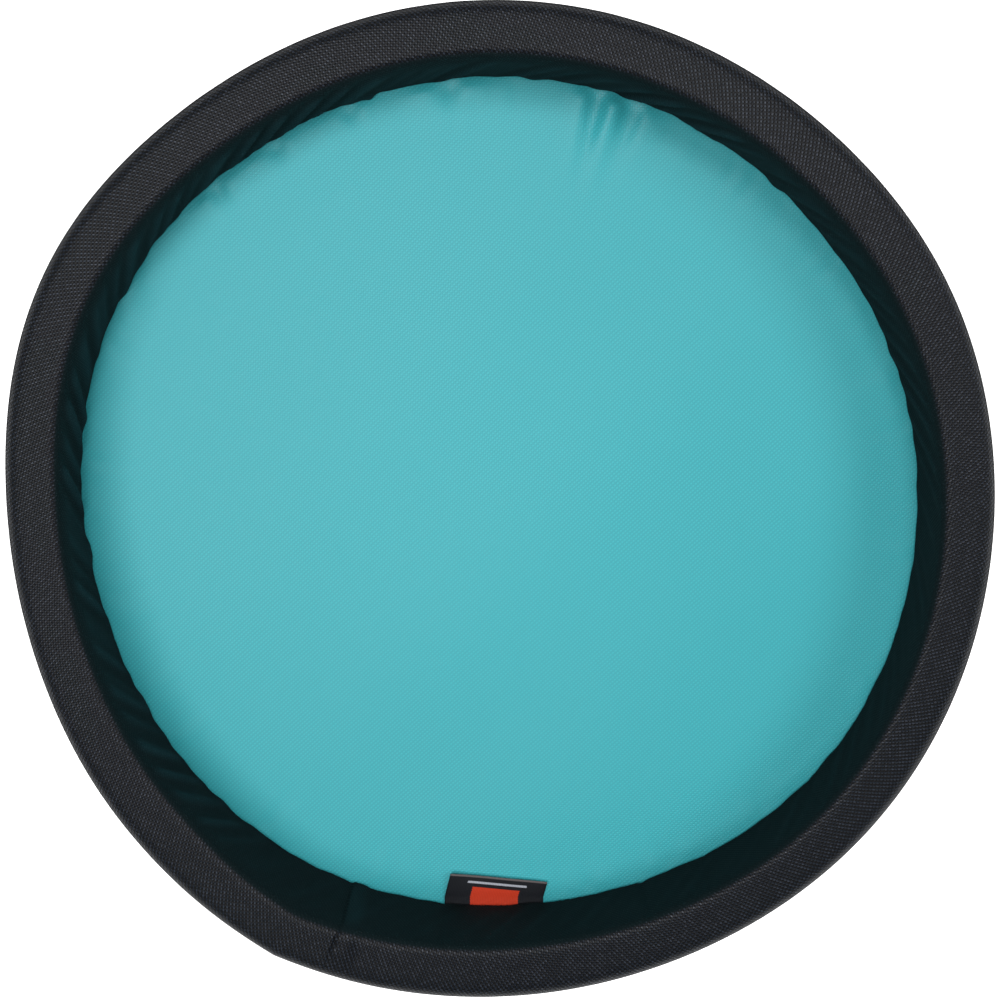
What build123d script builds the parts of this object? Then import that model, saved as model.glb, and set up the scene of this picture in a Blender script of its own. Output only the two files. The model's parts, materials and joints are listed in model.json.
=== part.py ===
from build123d import *

import math
import os

# A soft flying disc, lying on its back with the hollow side up.
#
# A woven panel closes one side. Round it stands a rim: a flat foam strip bent into a hoop and wrapped in a woven
# sleeve. The sleeve's inner edge is turned under the foam and sewn to the panel, its outer edge is turned outwards
# on the panel, and a folded binding tape closes those two raw edges. A folded label is caught in the inner seam.
#
# Frame: millimetres, +Z up, origin under the centre of the disc on the surface that it lies on. The label is at -Y.

# Driving dimensions
OUTER_RADIUS = 120.0
HEIGHT = 27.0
FABRIC = 0.7  # coated woven panel and sleeve
TAPE = 0.6  # binding tape
THREAD = 0.3  # how far a row of thread stands off the cloth
THREAD_WIDTH = 0.5
EASE = 0.5  # room between the foam and the sleeve
CLEAR = 0.02  # between pieces that only touch

# The rim's section: corner radii in plan of its foot and crest, and the roundings of its corners
FOOT_INNER = 105.8
FOOT_OUTER = 117.0
CREST_INNER = 106.4
CREST_OUTER = 119.9
CREST_INNER_ROUND = 2.2
CREST_OUTER_ROUND = 3.8
FOOT_ROUND = 1.6
FLANGE_ROUND = 0.8  # where the sleeve's outer flange turns out
INNER_FLANGE = 6.2  # width of the sleeve's turning under the foam
BINDING_UNDER = 5.0  # width of the binding's leg under the panel
BINDING_EASE = 0.1  # from the binding's upper leg to the flange's bend
BINDING_ROUND = 0.48

# Heights of the layers, from the surface up
PANEL_Z = TAPE
SLEEVE_Z = PANEL_Z + FABRIC
FLANGE_TOP_Z = SLEEVE_Z + FABRIC
BINDING_TOP_Z = FLANGE_TOP_Z + TAPE
EDGE_RADIUS = OUTER_RADIUS - TAPE  # where the panel and the sleeve's outer flange end

# Rows of thread
PANEL_SEAM_RADIUS = 108.4
BINDING_SEAM_RADIUS = 118.8

# The foam's butt joint and the sleeve's end seam, as angles from +X
BUTT_ANGLE = 241.0
BUTT_GAP = 0.4
JOINT_TAPE = 0.2
JOINT_TAPE_LENGTH = 30.0
SLEEVE_SEAM_ANGLE = 250.5

# The label: a ribbon folded in two, set a little askew, its free end lifted off the panel
LABEL_WIDTH = 26.0
LABEL_LONG_SIDE = 6.9
LABEL_SHORT_SIDE = 4.3
LABEL_THICKNESS = 0.7
LABEL_SLIT = 0.12  # between the ribbon's two layers
LABEL_FOLD = 1.0  # from the slit's end to the fold, at the short side
LABEL_LEAN = 1.6  # sideways lean of the free end
LABEL_OFFSET = -1.6  # its middle from the Y axis
LABEL_LIFT = 10.0  # degrees
TAIL_LENGTH = 6.0
TAIL_THICKNESS = 0.35
TAIL_EASE = 0.25  # between the tail and its pocket
HINGE_Y = -104.1
HINGE_Z = SLEEVE_Z + 0.55
HINGE_GAP = 0.25  # from the hinge line to the flap and to the tail


def ring(section, angle=360.0, start=0.0):
    """A section drawn in XZ, turned about Z from one angle to another."""
    turned = revolve(Plane.XZ * section, Axis.Z, angle)
    return Rot(0, 0, start) * turned


def band(inner, outer, low, high):
    """A rectangular section from its two radii and two heights."""
    return Pos((inner + outer) / 2, (low + high) / 2) * Rectangle(outer - inner, high - low)


def thread_row(radius, low):
    """The section of one row of thread lying on the cloth."""
    return band(radius - THREAD_WIDTH / 2, radius + THREAD_WIDTH / 2, low, low + THREAD)


def lockstitch(radius, low, high):
    """A needle thread above the layers and a bobbin thread below them, as two rings."""
    return Compound([ring(thread_row(radius, low)), ring(thread_row(radius, high))])


def arc_degrees(length):
    """The angle of a length measured along the rim's crest."""
    return math.degrees(length / CREST_INNER)


def outer_wall_radius(height):
    """The radius in plan of the rim's leaning outer wall at a height."""
    share = (height - SLEEVE_Z) / (HEIGHT - SLEEVE_Z)
    return FOOT_OUTER + (CREST_OUTER - FOOT_OUTER) * share


def rim_section(inset):
    """The closed outline of the rim, drawn in by inset all round, with its corners rounded."""
    corners = [
        (FOOT_INNER, SLEEVE_Z),
        (FOOT_OUTER, SLEEVE_Z),
        (CREST_OUTER, HEIGHT),
        (CREST_INNER, HEIGHT),
    ]
    outline = make_face(Polyline(*corners, close=True))
    if inset:
        outline = offset(outline, amount=-inset, kind=Kind.INTERSECTION)
    for end, radius in ((0, CREST_INNER_ROUND), (-1, CREST_OUTER_ROUND)):
        corner = outline.vertices().group_by(Axis.Y)[-1].sort_by(Axis.X)[end]
        outline = fillet(corner, radius - inset)
    foot = outline.vertices().sort_by(Axis.Y)[:2]
    return fillet(foot, FOOT_ROUND - inset / 2)


def sleeve_section():
    """One strip of cloth of even thickness: under the foam, up, over the crest, down and out."""
    outside = FilletPolyline(
        (FOOT_INNER + INNER_FLANGE, SLEEVE_Z),
        (FOOT_INNER, SLEEVE_Z),
        (CREST_INNER, HEIGHT),
        (CREST_OUTER, HEIGHT),
        (outer_wall_radius(FLANGE_TOP_Z), FLANGE_TOP_Z),
        (EDGE_RADIUS, FLANGE_TOP_Z),
        radius=[FOOT_ROUND, CREST_INNER_ROUND, CREST_OUTER_ROUND, FLANGE_ROUND],
    )
    inside = offset(outside, amount=FABRIC, side=Side.RIGHT, closed=False)
    ends = [Line(outside @ 0, inside @ 0), Line(outside @ 1, inside @ 1)]
    return make_face([*outside.edges(), *inside.edges(), *ends])


def tail_block(ease):
    """The space that the label's tail fills behind the hinge line, or with ease its pocket."""
    return Pos(LABEL_OFFSET, HINGE_Y - HINGE_GAP + ease, SLEEVE_Z) * Box(
        LABEL_WIDTH + 2 * ease,
        TAIL_LENGTH + 2 * ease,
        TAIL_THICKNESS,
        align=(Align.CENTER, Align.MAX, Align.MIN),
    )


def rim_sleeve():
    """The cloth round the foam, with a shallow pocket under its flange for the label's tail."""
    return ring(sleeve_section()) - tail_block(TAIL_EASE)


def top_panel():
    """The flat cloth that closes the disc, out to the binding."""
    return ring(band(0, EDGE_RADIUS, PANEL_Z, SLEEVE_Z))


def foam_core():
    """The foam hoop, with its two ends a hair apart."""
    gap = arc_degrees(BUTT_GAP)
    return ring(rim_section(FABRIC + EASE), 360 - gap, BUTT_ANGLE + gap / 2)


def core_joint_tape():
    """Adhesive tape wrapped once round the foam over its joint."""
    wrap = rim_section(FABRIC + EASE - JOINT_TAPE) - rim_section(FABRIC + EASE)
    angle = arc_degrees(JOINT_TAPE_LENGTH)
    return ring(wrap, angle, BUTT_ANGLE - angle / 2)


def sleeve_join_thread():
    """The row of thread that joins the sleeve's two ends, on the inside of the cloth."""
    row = rim_section(FABRIC + CLEAR) - rim_section(FABRIC + EASE - CLEAR)
    row -= band(FOOT_INNER, FOOT_OUTER, 0, FLANGE_TOP_Z + 2 * THREAD)
    return ring(row, arc_degrees(THREAD_WIDTH), SLEEVE_SEAM_ANGLE)


def edge_binding():
    """A tape folded round the raw edges of the panel and the sleeve, grooved under its row of thread."""
    upper_leg = outer_wall_radius(FLANGE_TOP_Z) + FLANGE_ROUND + BINDING_EASE
    section = band(EDGE_RADIUS - BINDING_UNDER, OUTER_RADIUS, 0, TAPE)
    section += band(EDGE_RADIUS, OUTER_RADIUS, 0, BINDING_TOP_Z)
    section += band(upper_leg, OUTER_RADIUS, FLANGE_TOP_Z, BINDING_TOP_Z)
    section = fillet(section.vertices().group_by(Axis.X)[-1], BINDING_ROUND)
    return ring(section - thread_row(BINDING_SEAM_RADIUS, 0))


def panel_seam_thread():
    """The row that sews the sleeve's inner flange to the panel, under the foam."""
    return lockstitch(PANEL_SEAM_RADIUS, PANEL_Z - THREAD, FLANGE_TOP_Z)


def binding_thread():
    """The row that sews the binding through the sleeve and the panel, sunk into its lower leg."""
    return lockstitch(BINDING_SEAM_RADIUS, 0, BINDING_TOP_Z)


def label_flap():
    """The label's free part: a skewed piece of ribbon folded at its free end."""
    left = LABEL_OFFSET - LABEL_WIDTH / 2
    right = LABEL_OFFSET + LABEL_WIDTH / 2
    outline = Polyline(
        (left, HINGE_GAP),
        (right, HINGE_GAP),
        (right + LABEL_LEAN, LABEL_SHORT_SIDE),
        (left + LABEL_LEAN, LABEL_LONG_SIDE),
        close=True,
    )
    flap = extrude(make_face(outline), LABEL_THICKNESS / 2, both=True)
    slit = Pos(LABEL_OFFSET, 0) * Box(2 * LABEL_WIDTH, 2 * (LABEL_SHORT_SIDE - LABEL_FOLD), LABEL_SLIT)
    return Pos(0, HINGE_Y, HINGE_Z) * Rot(LABEL_LIFT, 0, 0) * (flap - slit)


def label_tail():
    """The label's sewn part, flat between the panel and the sleeve's flange."""
    return tail_block(0)


SUB_PARTS = [
    top_panel,
    rim_sleeve,
    foam_core,
    core_joint_tape,
    sleeve_join_thread,
    edge_binding,
    panel_seam_thread,
    binding_thread,
    label_flap,
    label_tail,
]

os.makedirs("parts", exist_ok=True)
for make in SUB_PARTS:
    export_step(make(), f"parts/{make.__name__}.step")
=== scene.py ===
"""The look of a soft flying disc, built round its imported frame.

The disc lies on its back: a woven panel is stretched across a foam hoop in a cloth sleeve, the raw edges
are closed by a folded binding tape, and a folded label is caught in the inner seam. Lengths are in metres
and angles in degrees.
"""
import json
import math

import bpy
import numpy as np
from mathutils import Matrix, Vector


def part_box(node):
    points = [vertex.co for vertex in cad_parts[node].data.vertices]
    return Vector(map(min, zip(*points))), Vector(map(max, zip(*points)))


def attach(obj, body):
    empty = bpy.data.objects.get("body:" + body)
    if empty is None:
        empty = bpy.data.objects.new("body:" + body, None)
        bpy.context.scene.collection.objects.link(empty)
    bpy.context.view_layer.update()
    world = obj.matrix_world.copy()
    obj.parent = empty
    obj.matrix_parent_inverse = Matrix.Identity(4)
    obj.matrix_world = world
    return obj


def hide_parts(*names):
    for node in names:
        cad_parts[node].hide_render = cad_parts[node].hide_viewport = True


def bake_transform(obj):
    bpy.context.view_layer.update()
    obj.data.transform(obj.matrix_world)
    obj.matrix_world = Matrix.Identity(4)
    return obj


bl_info = {
    "name": "Soft Flying Disc",
    "version": (1, 0, 0),
    "blender": (4, 5, 0),
    "location": "3D View > Sidebar > Flying Disc",
    "description": "Builds the cloth, foam, tape and thread of a soft flying disc round its frame",
    "category": "Add Mesh",
}

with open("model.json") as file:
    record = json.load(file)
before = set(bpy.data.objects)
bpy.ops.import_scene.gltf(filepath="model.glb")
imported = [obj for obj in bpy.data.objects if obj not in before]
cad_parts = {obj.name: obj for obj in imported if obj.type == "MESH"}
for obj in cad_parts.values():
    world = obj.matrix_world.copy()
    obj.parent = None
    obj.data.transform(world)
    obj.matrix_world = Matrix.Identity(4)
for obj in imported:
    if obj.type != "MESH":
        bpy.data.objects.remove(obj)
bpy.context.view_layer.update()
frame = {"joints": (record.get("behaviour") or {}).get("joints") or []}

MM = 0.001
TURN = 2 * math.pi

# Heights and radii of the layers, from the frame
PANEL_LOW, PANEL_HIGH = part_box("top_panel")
SLEEVE_LOW, SLEEVE_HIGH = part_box("rim_sleeve")
BINDING_LOW, BINDING_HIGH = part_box("edge_binding")
SEAM_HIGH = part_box("panel_seam_thread")[1]
STITCH_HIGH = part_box("binding_thread")[1]
TAIL_LOW, TAIL_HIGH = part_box("label_tail")
HINGE = Vector(frame["joints"][0]["pos_m"])
CREST_Z = SLEEVE_HIGH.z
FOOT_Z = SLEEVE_LOW.z
EDGE_RADIUS = PANEL_HIGH.x
CLOTH = PANEL_HIGH.z - PANEL_LOW.z

# The section of the rim, where its boxes don't show it
INNER_FLANGE = 6.2 * MM
FOOT_ROUND = 1.6 * MM
FLANGE_ROUND = 0.8 * MM
FOAM_ROUND = 1.0 * MM
ROW_HALF = 0.25 * MM  # half the width of a row of thread in the frame

PANEL_CLEAR = 0.00005  # the least room between the panel and the ground
FLOOR_Z = -0.00005  # the floor lies just under the binding

# How finely sections are cut: the length of their straight steps, and the number of steps of an arc
SLEEVE_STEP = 1.6 * MM
FOAM_STEP = 2 * MM
BINDING_STEP = 0.7 * MM
ARC_STEPS = 7
SAME_PLACE = 1e-7  # points nearer than this are one

# How far the soft rim stands off a true circle at its crest, at its foot and in its thickness: swells as
# (azimuth, height, width), in degrees and millimetres
CREST_SWELLS = ((149, 2.4, 13), (100, 1.1, 25), (244, 2.5, 14), (196, -2.2, 15), (177, -0.6, 9),
                (0, -1.1, 22), (50, -0.8, 14), (320, 0.2, 15), (290, -0.5, 14), (225, -0.7, 7))
FOOT_SWELLS = ((148, 2.2, 20), (196, -1.0, 13), (246, 1.2, 14), (322, 2.0, 18), (42, -1.0, 16),
               (100, 0.3, 20))
THICK_SWELLS = ((210, 0.9, 16), (226, 0.9, 8), (30, 0.5, 16), (268, 1.5, 20))
CREST_CORNER = (242.8, 1.3, 7)

# Slow waves of the panel: (height, waves along x, waves along y, phase), the waves in radians per metre
PANEL_WAVES = ((0.35, 55, 21, 1.0), (0.3, -27, 63, 2.2), (0.2, 95, -88, 0.0))

# Short dents of the panel beside the seam: (azimuth, length inwards, width round the hoop, depth), in
# degrees and millimetres
PANEL_DENTS = (
    (76.8, 11, 0.8, 2.8),
    (74.2, 12, 1.0, -2.0),
    (71.5, 9, 1.0, 1.6),
    (97, 4.5, 1.4, 2.4),
    (110.8, 3.5, 1.0, 2.2),
    (116, 5, 1.2, -0.8),
    (122, 4, 1.2, 2.0),
    (131.5, 5, 1.0, 2.0),
    (150, 6, 1.5, 0.6),
    (22, 9, 2.0, 0.5),
    (283, 5, 0.8, 0.6),
    (296, 5, 1.0, 0.6),
    (312, 6, 1.4, 0.5),
)

# Where the inner wall's slanting ripples are strong: (azimuth, strength, width), in degrees
RIPPLE_SWELLS = ((145, 1.0, 38), (205, 0.45, 20), (60, 0.65, 35))

# A sharp pleat at the wall's foot: (azimuth, depth, width), in degrees and millimetres
NOTCH = (107.4, 0.9, 0.7)

# Upright creases of the rim's inner wall: (azimuth, depth, width), in degrees and millimetres
WALL_CREASES = ((248.4, 0.3, 0.35), (262, 0.5, 0.4), (290.5, 0.7, 0.35), (300, 0.35, 0.5), (318, 0.5, 0.4))


class DiscSizes(bpy.types.PropertyGroup):
    """Sizes of the cloth pieces that the frame's boxes don't give."""

    foot_inner: bpy.props.FloatProperty(
        name="Inner foot", description="Radius of the rim's inner wall where it meets the panel",
        default=0.1058, subtype="DISTANCE", unit="LENGTH")
    foot_outer: bpy.props.FloatProperty(
        name="Outer foot", description="Radius of the rim's outer wall at its foot",
        default=0.117, subtype="DISTANCE", unit="LENGTH")
    crest_inner: bpy.props.FloatProperty(
        name="Inner crest", description="Radius of the rim's inner wall at its top",
        default=0.1064, subtype="DISTANCE", unit="LENGTH")
    crest_outer: bpy.props.FloatProperty(
        name="Outer crest", description="Radius of the rim's outer wall at its top",
        default=0.1199, subtype="DISTANCE", unit="LENGTH")
    inner_round: bpy.props.FloatProperty(
        name="Inner rounding", description="Radius of the rim's upper corner on the inside",
        default=0.0022, subtype="DISTANCE", unit="LENGTH")
    outer_round: bpy.props.FloatProperty(
        name="Outer rounding", description="Radius of the rim's upper corner on the outside",
        default=0.0038, subtype="DISTANCE", unit="LENGTH")
    ripple_depth: bpy.props.FloatProperty(
        name="Ripple depth", description="How far the slanting ripples of the inner wall stand out",
        default=0.0016, subtype="DISTANCE", unit="LENGTH")
    pucker_depth: bpy.props.FloatProperty(
        name="Pucker depth", description="Height of the panel's puckers beside the seam",
        default=0.0002, subtype="DISTANCE", unit="LENGTH")
    thread_pitch: bpy.props.FloatProperty(
        name="Thread pitch", description="Distance from one thread of the cloth to the next",
        default=0.00058, subtype="DISTANCE", unit="LENGTH")
    stitch_length: bpy.props.FloatProperty(
        name="Stitch length", description="Length of one stitch of the seams",
        default=0.003, subtype="DISTANCE", unit="LENGTH")
    stitch_thread: bpy.props.FloatProperty(
        name="Sewing thread", description="Diameter of the sewing thread",
        default=0.00042, subtype="DISTANCE", unit="LENGTH")
    ribbon: bpy.props.FloatProperty(
        name="Label ribbon", description="Thickness of the label's ribbon",
        default=0.00026, subtype="DISTANCE", unit="LENGTH")


def colour_property(name, description, default):
    """A colour that a user may change, as linear red, green and blue."""
    return bpy.props.FloatVectorProperty(
        name=name, description=description, default=default, subtype="COLOR", size=3, min=0, max=1)


class DiscColours(bpy.types.PropertyGroup):
    """Colours of the cloth, thread, foam and label."""

    panel: colour_property("Panel", "The woven panel", (0.036, 0.36, 0.405))
    sleeve: colour_property("Sleeve", "The rim's cloth", (0.0034, 0.0052, 0.0082))
    # painted teal reflection of the panel: the black cloth's colour where it faces the panel
    wall: colour_property("Inner wall", "The cloth where it faces the panel", (0.0026, 0.0126, 0.0152))
    binding: colour_property("Binding", "The tape round the edge", (0.014, 0.0145, 0.017))
    thread: colour_property("Sewing thread", "The rows of stitches", (0.012, 0.012, 0.014))
    foam: colour_property("Foam", "The hoop inside the sleeve", (0.05, 0.05, 0.054))
    joint_tape: colour_property("Joint tape", "The adhesive tape on the foam's joint", (0.55, 0.45, 0.28))
    label: colour_property("Label", "The label's ribbon", (0.006, 0.007, 0.0095))
    mark: colour_property("Label bar", "The plain bar woven into the label", (0.56, 0.042, 0.014))
    line: colour_property("Label line", "The plain line woven into the label", (0.42, 0.44, 0.5))


# --------------------------------------------------------------------------------------------------
# Shapes


def apart(azimuth, centre):
    """Degrees from a centre, from -180 to 180."""
    return (azimuth - centre + 180) % 360 - 180


def swell(azimuth, swells):
    """Sum of bell curves round the hoop: height * exp(-(distance / width)^2 / 2), distances in degrees."""
    return sum(height * np.exp(-0.5 * (apart(azimuth, centre) / width) ** 2)
               for centre, height, width in swells)


def smooth(low, high, value):
    """0 below low, 1 above high, and 3t^2 - 2t^3 between them."""
    t = np.clip((value - low) / (high - low), 0, 1)
    return t * t * (3 - 2 * t)


def rumple(azimuth, counts, seed):
    """Sum of sines round the hoop, from -1 to 1: sin(count * azimuth + a seeded phase)."""
    phases = np.random.default_rng(seed).uniform(0, TURN, len(counts))
    total = sum(np.sin(np.radians(azimuth) * n + p) for n, p in zip(counts, phases))
    return total / len(counts)


def rim_shift(azimuth, radius, height):
    """How far a point of the rim moves outwards: the foot's and the crest's swells mixed by height, a corner
    at the crest, size * exp(-distance / width), and the rim's thickening in proportion to the distance from
    its inner wall."""
    sizes = bpy.context.scene.disc_sizes
    rise = np.clip((height - FOOT_Z) / (CREST_Z - FOOT_Z), 0, 1)
    inner = sizes.foot_inner + (sizes.crest_inner - sizes.foot_inner) * rise
    outer = sizes.foot_outer + (sizes.crest_outer - sizes.foot_outer) * rise
    share = np.clip((radius - inner) / (outer - inner), 0, 1)
    place, size, width = CREST_CORNER
    corner = size * np.exp(-np.abs(apart(azimuth, place)) / width)
    leaning = swell(azimuth, FOOT_SWELLS) * (1 - rise) + (swell(azimuth, CREST_SWELLS) + corner) * rise
    return MM * (leaning + swell(azimuth, THICK_SWELLS) * share * rise)


def around(azimuth, radius, height):
    """Points (x, y, z) from arrays of azimuth, radius and height."""
    angle = np.radians(azimuth)
    return np.stack([radius * np.cos(angle), radius * np.sin(angle), height], -1)


def rounded_path(corners, radii, straight):
    """Straight runs joined by tangent arcs, as (points, normals to the right of the way, distances).

    An arc starts radius * tan(half the turn) before its corner. Runs are cut into steps of about straight."""
    corners = np.asarray(corners, float)
    points = [corners[:1]]
    for corner, radius, before, after in zip(corners[1:-1], radii, corners[:-2], corners[2:]):
        back = (before - corner) / np.linalg.norm(before - corner)
        ahead = (after - corner) / np.linalg.norm(after - corner)
        half = math.acos(np.clip(-back @ ahead, -1, 1)) / 2
        start = corner + back * radius * math.tan(half)
        inward = (back + ahead) / np.linalg.norm(back + ahead)
        centre = corner + inward * radius / math.cos(half)
        side = np.sign(back[0] * ahead[1] - back[1] * ahead[0])
        angles = -side * np.linspace(0, 2 * half, ARC_STEPS + 1)
        arm = start - centre
        arc = np.stack([arm[0] * np.cos(angles) - arm[1] * np.sin(angles),
                        arm[0] * np.sin(angles) + arm[1] * np.cos(angles)], -1)
        points.append(run(points[-1][-1], start, straight))
        points.append(centre + arc)
    points.append(run(points[-1][-1], corners[-1], straight))
    points.append(corners[-1:])
    path = np.concatenate(points)
    keep = np.r_[True, np.linalg.norm(np.diff(path, axis=0), axis=1) > SAME_PLACE]
    path = path[keep]
    along = np.gradient(path, axis=0)
    along /= np.linalg.norm(along, axis=1, keepdims=True)
    normals = np.stack([along[:, 1], -along[:, 0]], -1)
    distances = np.r_[0, np.cumsum(np.linalg.norm(np.diff(path, axis=0), axis=1))]
    return path, normals, distances


def run(start, end, step):
    """Points inside a straight run, its ends left out, about a step apart."""
    count = max(int(np.linalg.norm(np.subtract(end, start)) / step), 1)
    shares = np.arange(1, count) / count
    return start + shares[:, None] * np.subtract(end, start)


def grid_quads(rows, columns, wrap_rows=False, wrap_columns=False):
    """Quads of a grid of points numbered row by row. A wrapped way joins its last points to its first."""
    i, j = np.meshgrid(np.arange(rows if wrap_rows else rows - 1),
                       np.arange(columns if wrap_columns else columns - 1), indexing="ij")
    below, right = (i + 1) % rows, (j + 1) % columns
    return np.stack([i * columns + j, i * columns + right, below * columns + right, below * columns + j],
                    -1).reshape(-1, 4)


def corner_values(values):
    """Each quad's four values of a grid that has one row or column more than the points where it wraps."""
    rows = values.shape[0] - 1
    columns = values.shape[1] - 1
    i, j = np.meshgrid(np.arange(rows), np.arange(columns), indexing="ij")
    picked = [values[i, j], values[i, j + 1], values[i + 1, j + 1], values[i + 1, j]]
    return np.stack(picked, 2).reshape(-1, values.shape[2])


def make_piece(name, points, faces, material, uvs=None, fold=None):
    """A smooth mesh object at the origin. uvs has one pair for each corner of the faces, in their order, and
    fold one number for each point, which materials may read."""
    mesh = bpy.data.meshes.new(name)
    mesh.from_pydata(points.tolist(), [], [list(map(int, f)) for f in faces])
    if uvs is not None:
        layer = mesh.uv_layers.new(name="cloth")
        layer.data.foreach_set("uv", np.asarray(uvs, np.float32).ravel())
    if fold is not None:
        values = mesh.attributes.new("fold", "FLOAT", "POINT").data
        values.foreach_set("value", np.asarray(fold, np.float32).ravel())
    mesh.polygons.foreach_set("use_smooth", np.ones(len(mesh.polygons), bool))
    mesh.materials.append(material)
    mesh.update()
    piece = bpy.data.objects.new(name, mesh)
    bpy.context.scene.collection.objects.link(piece)
    return piece


def settle(piece, slot, *nodes):
    """The piece rides on the disc and stands for its nodes, which it hides; slot is not used."""
    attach(piece, "disc")
    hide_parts(*nodes)
    return piece


def hoop_strip(name, section, material, azimuth, bulge=None):
    """A closed section carried round the hoop through rising azimuths: a ring if they make a whole turn, or
    else a strip with capped ends.

    section holds (radius, height) points in order round the material, which is on their left, so that faces
    look outwards. bulge(azimuth, radius, height) gives further (outward, upward) moves. The UV map is the
    distance round the section and the distance round the hoop, in metres."""
    whole = math.isclose(azimuth[-1] - azimuth[0], 360)
    ring = azimuth[:-1] if whole else azimuth
    radius, turn = np.meshgrid(section[:, 0], ring, indexing="ij")
    height = np.broadcast_to(section[:, 1][:, None], radius.shape)
    more, up = bulge(turn, radius, height) if bulge else (np.zeros_like(turn), 0)
    out = rim_shift(turn, radius, height) + more
    points = around(turn, radius + out, height + up).reshape(-1, 3)
    rows, steps = radius.shape
    faces = [tuple(f) for f in grid_quads(rows, steps, wrap_rows=True, wrap_columns=whole)]
    looped = np.r_[section, section[:1]]
    distance = np.r_[0, np.cumsum(np.linalg.norm(np.diff(looped, axis=0), axis=1))]
    length = np.radians(azimuth) * bpy.context.scene.disc_sizes.crest_inner
    uvs = corner_values(np.stack(np.meshgrid(distance, length, indexing="ij"), -1))
    if not whole:
        first = np.arange(rows) * steps
        last = first[::-1] + steps - 1
        faces += [tuple(first), tuple(last)]
        uvs = np.concatenate([uvs, section, section[::-1]])
    return make_piece(name, points, faces, material, uvs, -more / MM)


def shell_section(path, normals, thickness):
    """The closed section of cloth that lies between a path and its parallel on the right, which has every
    second point."""
    picks = np.r_[0:len(path) - 1:2, len(path) - 1]
    return np.concatenate([path, (path + normals * thickness)[picks][::-1]])


def tape_section(outer, inner):
    """The section of a thin layer round the foam, from the insets of its outer and its inner face."""
    outside, inside = foam_section(outer), foam_section(inner)
    return np.concatenate([outside, outside[:1], inside[:1], inside[::-1]])


def rim_path():
    """The outside of the rim from the inner flange's edge over the crest to the outer flange's edge, as
    rounded_path gives it."""
    sizes = bpy.context.scene.disc_sizes
    flange_z = FOOT_Z + CLOTH
    share = CLOTH / (CREST_Z - FOOT_Z)
    outer = sizes.foot_outer + (sizes.crest_outer - sizes.foot_outer) * share
    corners = [
        (sizes.foot_inner + INNER_FLANGE, FOOT_Z),
        (sizes.foot_inner, FOOT_Z),
        (sizes.crest_inner, CREST_Z),
        (sizes.crest_outer, CREST_Z),
        (outer, flange_z),
        (EDGE_RADIUS, flange_z),
    ]
    radii = [FOOT_ROUND, sizes.inner_round, sizes.outer_round, FLANGE_ROUND]
    return rounded_path(corners, radii, SLEEVE_STEP)


# --------------------------------------------------------------------------------------------------
# Materials


class Wire:
    """An output socket of a material's nodes. Arithmetic on wires adds the Math nodes that work it out."""

    def __init__(self, shader, socket):
        self.shader = shader
        self.socket = socket

    def sum(self, operation, *values):
        """One Math node on these numbers or wires."""
        return self.shader.node("Math", {"operation": operation}, dict(enumerate(values)))

    def __add__(self, other):
        return self.sum("ADD", self, other)

    def __radd__(self, other):
        return self.sum("ADD", other, self)

    def __sub__(self, other):
        return self.sum("SUBTRACT", self, other)

    def __rsub__(self, other):
        return self.sum("SUBTRACT", other, self)

    def __mul__(self, other):
        return self.sum("MULTIPLY", self, other)

    def __truediv__(self, other):
        return self.sum("DIVIDE", self, other)

    def floor(self):
        return self.sum("FLOOR", self)

    def fraction(self):
        return self.sum("FRACT", self)

    def size(self):
        return self.sum("ABSOLUTE", self)

    def above(self, limit):
        return self.sum("GREATER_THAN", self, limit)

    def wave(self, pitch):
        """A sine wave from 0 to 1 for each pitch of this distance."""
        return self.sum("SINE", self * (TURN / pitch)) * 0.5 + 0.5

    def between(self, low, high):
        """0 below low, 1 above high, smooth between them."""
        return self.shader.node(
            "MapRange", {"interpolation_type": "SMOOTHSTEP"},
            {"Value": self, "From Min": low, "From Max": high, "To Min": 0.0, "To Max": 1.0})

    def within(self, reach, blur):
        """1 up to a reach and 0 from a blur further on, smooth between them."""
        return 1 - self.between(reach, reach + blur)


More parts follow.
